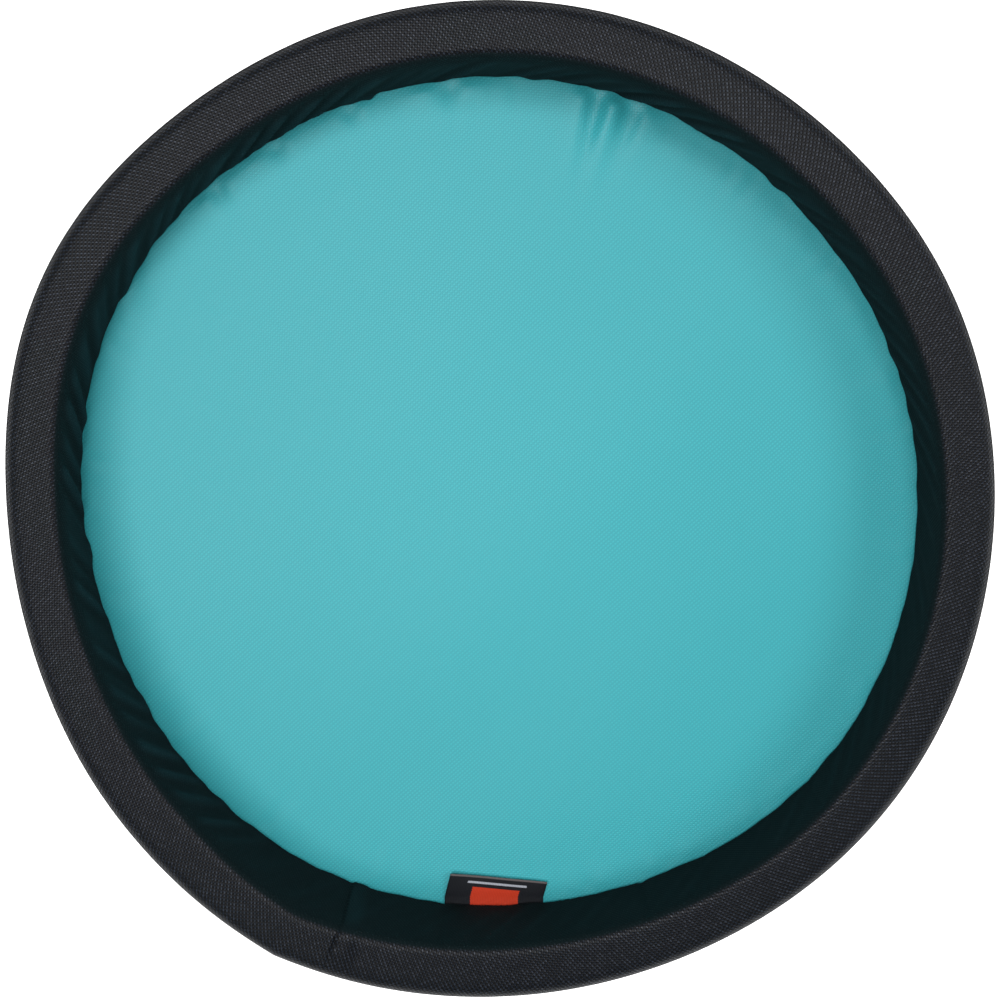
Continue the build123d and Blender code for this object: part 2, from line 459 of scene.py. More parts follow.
class Shader:
    """A material under construction."""

    def __init__(self, name):
        self.material = bpy.data.materials.new(name)
        self.material.use_nodes = True
        self.tree = self.material.node_tree
        self.tree.nodes.clear()

    def node(self, kind, settings=None, inputs=None, output=0):
        """A node of a type with its settings, then its sockets' values or wires; returns one output."""
        made = self.tree.nodes.new("ShaderNode" + kind)
        for name, value in (settings or {}).items():
            setattr(made, name, value)
        for key, value in (inputs or {}).items():
            if isinstance(value, Wire):
                self.tree.links.new(value.socket, made.inputs[key])
            else:
                made.inputs[key].default_value = value
        return Wire(self, made.outputs[output]) if made.outputs else None

    def split(self, vector):
        """The three numbers of a vector."""
        made = self.tree.nodes.new("ShaderNodeSeparateXYZ")
        self.tree.links.new(vector.socket, made.inputs[0])
        return [Wire(self, s) for s in made.outputs]

    def join(self, x, y):
        """The vector (x, y, 0)."""
        return self.node("CombineXYZ", inputs={0: x, 1: y})

    def blend(self, share, first, second):
        """A colour between two colours."""
        colours = [rgba(c) if not isinstance(c, Wire) else c for c in (first, second)]
        return self.node("Mix", {"data_type": "RGBA"}, {0: share, 6: colours[0], 7: colours[1]}, output=2)

    def noise(self, vector, scale, detail):
        """Smooth noise from 0 to 1, with scale in waves per metre."""
        inputs = {"Vector": vector, "Scale": scale, "Detail": detail}
        return self.node("TexNoise", {"noise_dimensions": "3D"}, inputs)

    def chance(self, vector):
        """A random number from 0 to 1 for each whole vector."""
        return self.node("TexWhiteNoise", {"noise_dimensions": "3D"}, {"Vector": vector})

    def bump(self, height, depth, strength=1.0):
        """A normal from a height between 0 and 1 that stands for a depth in metres."""
        return self.node("Bump", inputs={"Height": height, "Distance": depth, "Strength": strength})

    def finish(self, matt=None, **inputs):
        """A Principled surface with these inputs, underscores for spaces, which gives way to plain matt cloth
        of the same colour in the share matt; returns the material."""
        surface = self.node("BsdfPrincipled", inputs={k.replace("_", " "): v for k, v in inputs.items()})
        if matt is not None:
            cloth = {"Color": inputs["Base_Color"], "Normal": inputs["Normal"]}
            plain = self.node("BsdfDiffuse", inputs=cloth)
            surface = self.node("MixShader", inputs={0: matt, 1: surface, 2: plain})
        self.node("OutputMaterial", inputs={"Surface": surface})
        return self.material


def rgba(colour):
    """Red, green and blue with full alpha."""
    return (*tuple(colour)[:3], 1.0)


def shades(colour, *shares):
    """The colour made darker or lighter by each share."""
    return [[c * share for c in colour] for share in shares]


def plain_weave(shader, across, along):
    """Plain weave from two distances counted in threads: (height, which thread is on top, crossing).

    Each crossing is a round-backed pillow, 1 - (t^2 + s^2) / 2 with t and s from -1 to 1 over it, and lower
    where the warp is below. Where it is on top the pillow is drawn out along one diagonal, so that the
    crossings join in slanting rows. crossing is a vector that is whole for each crossing of two threads."""
    low, slant = 0.5, 0.45
    column, row = across.floor(), along.floor()
    t, s = across.fraction() * 2 - 1, along.fraction() * 2 - 1
    over = ((column + row) * 0.5).fraction() * 2
    pillow = 1 - (t * t + s * s) * 0.5
    height = pillow * (over * (1 - low) + low) + over * t * s * slant
    return height, over, shader.join(column, row)


def panel_cloth():
    """Teal oxford cloth with a thin coat: threads at a slight angle to the axes, which wander by a thread or
    two, and faint glints. The threads' crowns are painted lighter and the gaps darker, a painted highlight
    and shade, and soft patches are painted darker at random, a painted shade of faint wrinkles."""
    sizes, colours = bpy.context.scene.disc_sizes, bpy.context.scene.disc_colours
    askew = math.radians(4)
    shader = Shader("panel_cloth")
    place = shader.node("TexCoord", output=3)
    wander = shader.noise(place, 60.0, 3.0)
    turned = shader.node("Mapping", inputs={"Vector": place, "Rotation": (0, 0, askew)})
    x, y, _ = shader.split(turned)
    across = x / sizes.thread_pitch + wander * 1.6
    along = y / sizes.thread_pitch + wander * 1.3
    height, over, crossing = plain_weave(shader, across, along)
    glint = shader.chance(crossing).between(0.6, 1.0) * height.between(0.5, 1.0)
    # painted shade: soft patches darkened at random, for faint wrinkles
    patches = shader.noise(place, 9.0, 2.0).between(0.35, 0.75)
    # painted highlight and shade: the threads' crowns are coloured lighter and the gaps darker
    deep, bright, patch_shade = shades(colours.panel, 0.84, 1.12, 0.93)
    cloth = shader.blend(height.between(0.2, 1.0), deep, bright)
    cloth = shader.blend(patches * 0.4, cloth, patch_shade)
    normal = shader.bump(height, 0.0001, strength=0.6)
    rough = 0.38 - glint * 0.06 + over * 0.02
    return shader.finish(Base_Color=cloth, Roughness=rough, Normal=normal, Specular_IOR_Level=0.3)


def sleeve_cloth(brim, shoulder):
    """Black oxford cloth, its threads a little askew to the strip: their crowns are painted lighter and the
    gaps darker, a painted highlight and shade, and some of them carry a painted grey-blue glint.

    Where it faces the panel, from the foot to the brim, it is painted teal-black, a painted teal reflection
    of the panel, lighter on the ripples and darker between them as painted highlight and shade. In a band
    round the shoulder it is matt and painted darker towards black, a painted shade of the rounding. Both
    places are distances from the strip's inner edge."""
    sizes, colours = bpy.context.scene.disc_sizes, bpy.context.scene.disc_colours
    askew = math.radians(-13)
    ahead = math.cos(askew) / sizes.thread_pitch
    aside = math.sin(askew) / sizes.thread_pitch
    shader = Shader("sleeve_cloth")
    u, v, _ = shader.split(shader.node("UVMap", {"uv_map": "cloth"}))
    place = shader.node("TexCoord", output=3)
    wander = shader.noise(place, 45.0, 2.0)
    across = u * ahead + v * aside + wander * 1.2
    along = v * ahead - u * aside + wander * 0.9
    height, _, crossing = plain_weave(shader, across, along)
    fold = shader.node("Attribute", {"attribute_name": "fold"}, output=2)
    glint = shader.chance(crossing).between(0.3, 1.0) * height.between(0.5, 0.95)
    # where the painted teal reflection of the panel goes: the inner wall from the foot to the brim
    wall = u.within(brim - 0.5 * MM, 0.9 * MM)
    # painted shade: a band round the shoulder is darkened towards black, and made matt
    matt_shade_band = u.between(shoulder - 1.3 * MM, shoulder + 0.9 * MM) * u.within(shoulder + 2 * MM, 2.5 * MM)
    # painted highlight and shade: the threads' crowns lighter, the gaps darker, and grey-blue glints on some
    # crowns
    deep, bright = shades(colours.sleeve, 0.12, 2.4)
    base = shader.blend(height.between(0.3, 1.0), deep, bright)
    base = shader.blend(glint * 0.24, base, (0.08, 0.095, 0.125))
    # painted shade of the shoulder's rounding
    base = shader.blend(matt_shade_band * 0.6, base, (0.0, 0.0, 0.0))
    # painted teal reflection of the panel on the wall: lighter on the ripples' ridges and darker in their
    # hollows, a painted highlight and shade
    hollow, ridge = shades(colours.wall, 0.5, 1.5)
    dark = shader.blend(fold.between(0.1, 1.1), hollow, ridge)
    cloth = shader.blend(wall, base, dark)
    normal = shader.bump(height, 0.00011, strength=0.9)
    rough = 0.44 - height.between(0.3, 0.9) * 0.16 - glint * 0.06 + wall * 0.5
    return shader.finish(matt=matt_shade_band, Base_Color=cloth, Roughness=rough, Normal=normal,
                         Specular_IOR_Level=0.135)


def binding_cloth():
    """Black tape with fine ribs across it, crossed by finer picks."""
    rib_pitch, pick_pitch = 0.00075, 0.0004
    shader = Shader("binding_tape")
    u, v, _ = shader.split(shader.node("UVMap", {"uv_map": "cloth"}))
    height = v.wave(rib_pitch) * (u.wave(pick_pitch) * 0.3 + 0.7)
    deep, bright = shades(bpy.context.scene.disc_colours.binding, 0.55, 1.5)
    # painted highlight and shade: the ribs' tops are coloured lighter and the hollows darker
    cloth = shader.blend(height, deep, bright)
    normal = shader.bump(height, 0.00012)
    return shader.finish(Base_Color=cloth, Roughness=0.7 - height * 0.08, Normal=normal, Sheen_Weight=0.08)


def sewing_thread():
    """Three-ply polyester thread, with its plies winding round it."""
    plies, lay = 3.0, 0.0011
    shader = Shader("sewing_thread")
    u, v, _ = shader.split(shader.node("UVMap", {"uv_map": "cloth"}))
    ply = (u * plies + v / lay).wave(1.0)
    deep, bright = shades(bpy.context.scene.disc_colours.thread, 0.5, 2.2)
    # painted highlight and shade: the plies' crowns are coloured lighter and the grooves darker
    cloth = shader.blend(ply, deep, bright)
    normal = shader.bump(ply, 0.00006)
    return shader.finish(Base_Color=cloth, Roughness=0.42 + ply * 0.1, Normal=normal, Sheen_Weight=0.1)


def foam_skin():
    """Closed-cell foam: fine round cells on a dull grey-black body."""
    shader = Shader("foam")
    place = shader.node("TexCoord", output=3)
    cells = shader.node("TexVoronoi", {"feature": "F1"}, {"Vector": place, "Scale": 1600.0})
    bright, deep = shades(bpy.context.scene.disc_colours.foam, 1.25, 0.6)
    # painted highlight and shade: the cells' middles are coloured lighter and their borders darker
    body = shader.blend(cells, bright, deep)
    return shader.finish(Base_Color=body, Roughness=0.85, Normal=shader.bump(1 - cells, 0.0001))


def adhesive_tape():
    """Buff adhesive tape with faint creases across it."""
    shader = Shader("adhesive_tape")
    place = shader.node("TexCoord", output=3)
    crease = shader.noise(place, 700.0, 3.0)
    plain, creased = shades(bpy.context.scene.disc_colours.joint_tape, 1.0, 0.8)
    body = shader.blend(crease, plain, creased)
    return shader.finish(Base_Color=body, Roughness=0.5 - crease * 0.1, Normal=shader.bump(crease, 0.00005))


def label_cloth():
    """Satin-woven black ribbon with a plain orange bar and a plain pale line.

    The UV map is the distance across the ribbon from its middle and the distance from the fold, in metres."""
    colours = bpy.context.scene.disc_colours
    bar_half, bar_start = 0.0062, 0.0031
    line_half, line_place, line_width = 0.0078, 0.0018, 0.00028
    fold_highlight = 0.00015
    shader = Shader("label_ribbon")
    u, v, _ = shader.split(shader.node("UVMap", {"uv_map": "cloth"}))
    height = u.wave(0.00042) * 0.6 + v.wave(0.00034) * 0.4
    # painted highlight and shade: the satin's floats are coloured lighter and the hollows darker
    ground = shader.blend(height, *shades(colours.label, 0.7, 1.7))
    end = u.size() + (v.wave(0.0007) - 0.5) * 0.00012
    bar = end.within(bar_half, 0.0002) * v.between(bar_start, bar_start + 0.00015)
    line = end.within(line_half, 0.0002) * (v - line_place).size().within(line_width, 0.00008)
    # painted highlight: a light band along the fold's edge
    fold = v.size().within(fold_highlight, 0.00035)
    top = v.above(0.0)
    # the bar and the line also follow the satin's height, as painted highlight and shade
    cloth = shader.blend(bar * top, ground, shader.blend(height, *shades(colours.mark, 0.75, 1.0)))
    cloth = shader.blend(line * top * (height * 0.4 + 0.6), cloth, colours.line)
    # painted highlight: the band along the fold is lightened to a pinkish grey
    cloth = shader.blend(fold * 0.5, cloth, (0.2, 0.17, 0.17))
    normal = shader.bump(height, 0.00007)
    return shader.finish(Base_Color=cloth, Roughness=0.5 + height * 0.1, Normal=normal,
                         Specular_IOR_Level=0.2)


# --------------------------------------------------------------------------------------------------
# Pieces


def panel_top(azimuth, radius):
    """The panel's upper surface above its flat place: slow waves, radial puckers that die away from the seam,
    and single dents, each a narrow bell within a wide lip across and a half bell inwards. The cloth stays off
    the ground."""
    sizes = bpy.context.scene.disc_sizes
    inside = sizes.foot_inner + MM * swell(azimuth, FOOT_SWELLS) - radius
    free = smooth(-0.5 * MM, 3 * MM, inside)
    x = radius * np.cos(np.radians(azimuth))
    y = radius * np.sin(np.radians(azimuth))
    slow = sum(height * np.sin(x * a + y * b + phase) for height, a, b, phase in PANEL_WAVES)
    slow = (slow * 0.3 + 0.3) * MM * smooth(0, 25 * MM, inside)
    fan = rumple(azimuth, (23, 31, 37, 52, 71), 4) + 0.6 * rumple(azimuth, (89, 113, 131), 9)
    pucker = sizes.pucker_depth * (fan * np.exp(-inside / (6 * MM)))
    lip_width, lip_height = 2.2, 0.7
    dents = np.zeros_like(radius)
    for centre, length, width, depth in PANEL_DENTS:
        distance = apart(azimuth, centre) / width
        lip = lip_height * np.exp(-0.5 * (distance / lip_width) ** 2)
        across = np.exp(-0.5 * distance ** 2) - lip
        along = np.exp(-np.clip(inside / MM / length, 0, 4) ** 2)
        dents -= depth * MM * across * along * smooth(-0.2 * MM, 1.2 * MM, inside)
    return np.maximum(free * (slow + pucker + dents), PANEL_CLEAR - PANEL_LOW.z)


class DISC_OT_panel(bpy.types.Operator):
    """Stretch the woven panel across the disc"""

    bl_idname = "disc.panel"
    bl_label = "Panel"

    columns = 640
    coarse_rings = 28
    fine_rings = 32
    first_ring = 0.004
    fine_from = 0.09
    # Rings are true circles up to round_to and take the hoop's whole shift from shifted_from on
    round_to = 0.05
    shifted_from = 0.1

    def execute(self, context):
        """Rings of points from the middle out on top and back to the middle below, (r cos a, r sin a, z),
        with a single point at each pole."""
        near = np.linspace(self.fine_from, EDGE_RADIUS, self.fine_rings)
        far = np.linspace(self.first_ring, self.fine_from, self.coarse_rings, endpoint=False)
        radii = np.r_[far, near]
        azimuth = np.arange(self.columns) * 360 / self.columns
        radius, turn = np.meshgrid(radii, azimuth, indexing="ij")
        share = smooth(self.round_to, self.shifted_from, radius)
        shift = rim_shift(turn, radius, np.zeros_like(radius)) * share
        rise = panel_top(turn, radius + shift)
        top = around(turn, radius + shift, PANEL_HIGH.z + rise)
        under = around(turn, radius + shift, PANEL_LOW.z + rise)[::-1]
        rings = np.concatenate([top, under])
        points = rings.reshape(-1, 3)
        poles = [[0, 0, top[0, :, 2].mean()], [0, 0, under[-1, :, 2].mean()]]
        count, steps = len(rings), self.columns
        faces = [tuple(f[::-1]) for f in grid_quads(count, steps, wrap_columns=True)]
        step = np.arange(steps)
        after = (step + 1) % steps
        last = (count - 1) * steps
        faces += [(len(points), int(a), int(b)) for a, b in zip(step, after)]
        faces += [(len(points) + 1, int(last + b), int(last + a)) for a, b in zip(step, after)]
        piece = make_piece("panel", np.concatenate([points, poles]), faces, panel_cloth())
        settle(piece, "panel_cloth", "top_panel")
        return {"FINISHED"}


def wall_ripples(azimuth, radius, height):
    """How far the sleeve stands outwards off its plain shape.

    On the inner wall: slanting ripples, a sharpened sum of sines whose phase runs on with height, strong over
    the upper and left parts of the hoop; little pleats at the foot, one of them sharp; and a few upright
    creases where the wall is smooth. On the outer wall: soft rucks that fade towards the crest."""
    sizes = bpy.context.scene.disc_sizes
    rise = np.clip((height - FOOT_Z) / (CREST_Z - FOOT_Z), 0, 1)
    middle = sizes.foot_inner + (sizes.crest_inner - sizes.foot_inner) * rise
    on_wall = 1 - smooth(0.2 * MM, 2.4 * MM, radius - middle)
    strength = 0.22 + 0.78 * np.clip(swell(azimuth, RIPPLE_SWELLS), 0, 1)
    slant = 8.6  # degrees from the foot to the crest
    leant = azimuth - slant * (1 - rise)
    wave = rumple(leant, (84, 77, 91), 3) * 1.1 + 0.5 * rumple(leant, (47, 118), 5)
    ridge = (0.5 + 0.5 * np.clip(wave, -1, 1)) ** 1.6
    envelope = smooth(0.95, 0.75, rise) * (0.15 + 0.85 * smooth(0.0, 0.35, rise))
    ripples = sizes.ripple_depth * strength * ridge * envelope
    scallop = np.clip(rumple(azimuth, (29, 37, 17, 61), 8) * 1.6, 0, 1)
    scallop = scallop + 0.25 * rumple(azimuth, (53, 79), 14)
    place, depth, width = NOTCH
    notch = depth * np.exp(-(apart(azimuth, place) / width) ** 2)
    pleats = MM * ((0.15 + 0.45 * strength) * scallop + notch) * smooth(0.3, 0.05, rise)
    creases = np.zeros_like(azimuth)
    for centre, depth, width in WALL_CREASES:
        bell = np.exp(-0.5 * (apart(azimuth, centre) / width) ** 2)
        creases += depth * MM * bell * smooth(1.0, 0.85, rise)
    inwards = on_wall * (ripples + pleats - 0.6 * creases)
    on_outside = smooth(6 * MM, 9 * MM, radius - middle) * smooth(0.95, 0.6, rise)
    rucks = 0.3 * MM * rumple(azimuth + 3 * rise, (46, 61, 83), 21) * on_outside * (1 - 0.6 * rise)
    return rucks - inwards


class DISC_OT_sleeve(bpy.types.Operator):
    """Wrap the cloth sleeve round the rim"""

    bl_idname = "disc.sleeve"
    bl_label = "Sleeve"

    columns = 880
    # Azimuth of the overlap of the strip's ends, and its height
    seam = 248.8
    lap_height = 0.45 * MM
    # Degrees on each side of the seam that are cut finely, and into how many steps
    fine_span = 1.2
    fine_steps = 12

    def around_seam(self):
        """Azimuths of a whole turn from the seam to itself, with fine steps next to it."""
        before = np.linspace(0, self.fine_span, self.fine_steps + 1)[:-1]
        middle = np.linspace(self.fine_span, 360 - self.fine_span, self.columns)
        after = np.linspace(360 - self.fine_span, 360, self.fine_steps + 1)[1:]
        return self.seam + np.r_[before, middle, after]

    def execute(self, context):
        """The strip's closed section carried round the hoop and moved by wall_ripples. Its overlapping ends
        are a step off the foam, a groove exp(-(distance / width)^2) beside it and a slope back down."""
        path, normals, distances = rim_path()
        section = shell_section(path, normals, CLOTH)
        sizes = context.scene.disc_sizes
        nearest = [np.argmin(np.linalg.norm(path - [radius, CREST_Z], axis=1))
                   for radius in (sizes.crest_inner, sizes.crest_outer)]
        brim, shoulder = distances[nearest]
        centre = np.array([(path[:, 0].min() + path[:, 0].max()) / 2, (FOOT_Z + CREST_Z) / 2])
        outside = np.zeros(len(section), bool)
        outside[: len(path)] = True

        def bulge(azimuth, radius, height):
            out = wall_ripples(azimuth, radius, height)
            distance = apart(azimuth, self.seam)
            facing = 1 - smooth(centre[0], sizes.crest_outer - 3 * MM, radius)
            fold = smooth(-0.15, 0.15, distance) * (1 - smooth(1.5, 3.2, distance))
            groove = 0.8 * np.exp(-(distance / 0.2) ** 2)
            step = self.lap_height * (fold - groove) * facing
            away = np.stack([radius - centre[0], height - centre[1]], -1)
            away /= np.linalg.norm(away, axis=-1, keepdims=True)
            keep = outside[:, None]
            above_foot = height > FOOT_Z + MM
            return (out + step * away[..., 0]) * keep, step * away[..., 1] * keep * above_foot

        piece = hoop_strip("rim_cover", section, sleeve_cloth(brim, shoulder), self.around_seam(), bulge)
        settle(piece, "sleeve_cloth", "rim_sleeve")
        return {"FINISHED"}


def foam_section(inset):
    """The foam's closed section: the rim's outline drawn in by inset on all sides, with rounded corners."""
    sizes = bpy.context.scene.disc_sizes
    low, high = FOOT_Z + inset, CREST_Z - inset
    middle = (sizes.foot_inner + sizes.foot_outer) / 2
    corners = [
        (middle, low),
        (sizes.foot_outer - inset, low),
        (sizes.crest_outer - inset, high),
        (sizes.crest_inner + inset, high),
        (sizes.foot_inner + inset, low),
        (middle, low),
    ]
    radii = [FOAM_ROUND, sizes.outer_round - inset, sizes.inner_round - inset, FOAM_ROUND]
    path, _, _ = rounded_path(corners, radii, FOAM_STEP)
    return path[:-1]


class DISC_OT_foam(bpy.types.Operator):
    """Bend the foam strip into a hoop and tape its joint"""

    bl_idname = "disc.foam"
    bl_label = "Foam hoop"

    # The butt joint's azimuth, its gap and the tape's length, in degrees
    joint = 241.0
    gap = 0.2
    tape_length = 15.9
    # From the rim's outline to the foam, and to the tape's outer and inner face
    foam_inset = 1.3 * MM
    tape_insets = (1.02 * MM, 1.24 * MM)
    foam_steps = 240
    tape_steps = 24

    def execute(self, context):
        """The foam's section carried round from one side of its joint to the other, and a thin shell of tape
        carried a short way over it."""
        half_gap, half_tape = self.gap / 2, self.tape_length / 2
        azimuth = np.linspace(self.joint + half_gap, self.joint + 360 - half_gap, self.foam_steps + 1)
        foam = hoop_strip("foam_hoop", foam_section(self.foam_inset), foam_skin(), azimuth)
        settle(foam, "foam", "foam_core")
        azimuth = np.linspace(self.joint - half_tape, self.joint + half_tape, self.tape_steps + 1)
        tape = hoop_strip("foam_joint_tape", tape_section(*self.tape_insets), adhesive_tape(), azimuth)
        settle(tape, "adhesive_tape", "core_joint_tape")
        return {"FINISHED"}


class DISC_OT_binding(bpy.types.Operator):
    """Fold the binding tape round the edge"""

    bl_idname = "disc.binding"
    bl_label = "Edge binding"

    columns = 720
    thickness = 0.6 * MM
    fold_round = 0.95 * MM
    # Radii in plan: where the tape's upper and lower legs end, and its row of stitches
    upper_edge = 0.1182
    lower_edge = 0.1144
    row = 0.1188
    # How far the tape puffs up between stitches, and the radius where it does so most
    puff = 0.12 * MM
    puff_middle = 0.1193
    # Where its ends overlap: azimuth and length in degrees, height, and the radius from which it stands out
    lap = 262
    lap_length = 6.0
    lap_height = 0.45 * MM
    lap_from = 0.1195

    def execute(self, context):
        """A folded strip: a leg under the panel, a rounded fold and a short leg on the sleeve's flange. It is
        carried round the hoop with a faint waviness between the stitches and a thicker stretch where its ends
        overlap."""
        corners = [
            (self.upper_edge, BINDING_HIGH.z),
            (BINDING_HIGH.x, BINDING_HIGH.z),
            (BINDING_HIGH.x, BINDING_LOW.z),
            (self.lower_edge, BINDING_LOW.z),
        ]
        path, normals, _ = rounded_path(corners, [self.fold_round, self.fold_round], BINDING_STEP)
        section = shell_section(path, normals, self.thickness)
        upper = (section[:, 1] > (BINDING_HIGH.z - self.thickness) / 2)[:, None]
        stitch_length = context.scene.disc_sizes.stitch_length

        def bulge(azimuth, radius, height):
            stitch = np.sin(np.radians(azimuth) * self.row / stitch_length * TURN / 2) ** 2
            soft = self.puff * stitch + self.puff * rumple(azimuth, (31, 44, 67), 12)
            near = np.clip(1.2 - np.abs(radius - self.puff_middle) / (0.8 * MM), 0, 1)
            distance = apart(azimuth, self.lap)
            over = smooth(-0.1, 0.1, distance)
            over = over * (1 - smooth(self.lap_length - 0.2, self.lap_length, distance)) * self.lap_height
            wavy = 0.15 * MM * rumple(azimuth, (37, 58, 83), 13)
            return wavy + over * (radius > self.lap_from), upper * (soft * near + over * 0.6)

        azimuth = np.linspace(0, 360, self.columns + 1)
        piece = hoop_strip("binding", section, binding_cloth(), azimuth, bulge)
        settle(piece, "binding_tape", "edge_binding")
        return {"FINISHED"}


def thread_row(radius, surface, up):
    """One continuous sewing thread round the hoop that dives into the cloth at each end of every stitch, as
    (points, faces, their corners' uv).

    The line's height is surface + up * (a flat-topped arch of each stitch), and a six-sided section is
    carried along it."""
    sizes = bpy.context.scene.disc_sizes
    cuts, sides = 10, 6
    steps = round(TURN * radius / sizes.stitch_length) * cuts
    azimuth = np.arange(steps) * 360 / steps
    share = (np.arange(steps) / cuts) % 1
    arch = np.clip(np.sin(np.pi * share), 0, 1) ** 0.35
    half = sizes.stitch_thread / 2
    line = surface + up * (arch * half * 1.7 - half * 0.9)
    corner = np.arange(sides) * TURN / sides
    section = np.stack([np.cos(corner), np.sin(corner)], -1) * half
    ring_radius = radius + section[:, 0][:, None] + 0 * azimuth
    turn = np.broadcast_to(azimuth, ring_radius.shape)
    lean = 0.12 * MM * np.sin(np.pi * share)
    shift = rim_shift(turn, np.full_like(ring_radius, radius), np.full_like(ring_radius, surface))
    points = around(turn, ring_radius + shift + lean, line + section[:, 1][:, None])
    faces = grid_quads(sides, steps, wrap_rows=True, wrap_columns=True)
    length = np.arange(steps + 1) / steps * TURN * radius
    uv = np.stack(np.meshgrid(np.arange(sides + 1) / sides, length, indexing="ij"), -1)
    return points.reshape(-1, 3), [tuple(f) for f in faces], corner_values(uv)


def join_rows(name, rows, material, node):
    """One piece from several rows of thread."""
    points = np.concatenate([r[0] for r in rows])
    offsets = np.cumsum([0] + [len(r[0]) for r in rows[:-1]])
    faces = [tuple(i + int(o) for i in f) for r, o in zip(rows, offsets) for f in r[1]]
    uvs = np.concatenate([r[2] for r in rows])
    piece = make_piece(name, points, faces, material, uvs)
    return settle(piece, "thread", node)


class DISC_OT_stitching(bpy.types.Operator):
    """Sew the rows of stitches"""

    bl_idname = "disc.stitching"
    bl_label = "Stitching"

    # How deep the binding's needle row lies in the tape, and how far its bobbin row stands off it
    needle_depth = 0.42 * MM
    bobbin_lift = 0.12 * MM
    # The sleeve's own row: from the rim's outline to its outer and inner side, and its azimuths
    join_insets = (0.72 * MM, 0.95 * MM)
    join_from = 250.5
    join_to = 250.75

    def execute(self, context):
        """Needle and bobbin rows of the panel seam and of the binding, and the sleeve's own join."""
        material = sewing_thread()
        seam = SEAM_HIGH.x - ROW_HALF
        edge = STITCH_HIGH.x - ROW_HALF
        join_rows("panel_stitches", [
            thread_row(seam, PANEL_LOW.z, -1),
            thread_row(seam, FOOT_Z + CLOTH, 1),
        ], material, "panel_seam_thread")
        join_rows("binding_stitches", [
            thread_row(edge, BINDING_LOW.z + self.needle_depth, -1),
            thread_row(edge, BINDING_HIGH.z + self.bobbin_lift, 1),
        ], material, "binding_thread")
        azimuth = np.linspace(self.join_from, self.join_to, 4)
        join = hoop_strip("sleeve_join_stitches", tape_section(*self.join_insets), material, azimuth)
        settle(join, "thread", "sleeve_join_thread")
        return {"FINISHED"}


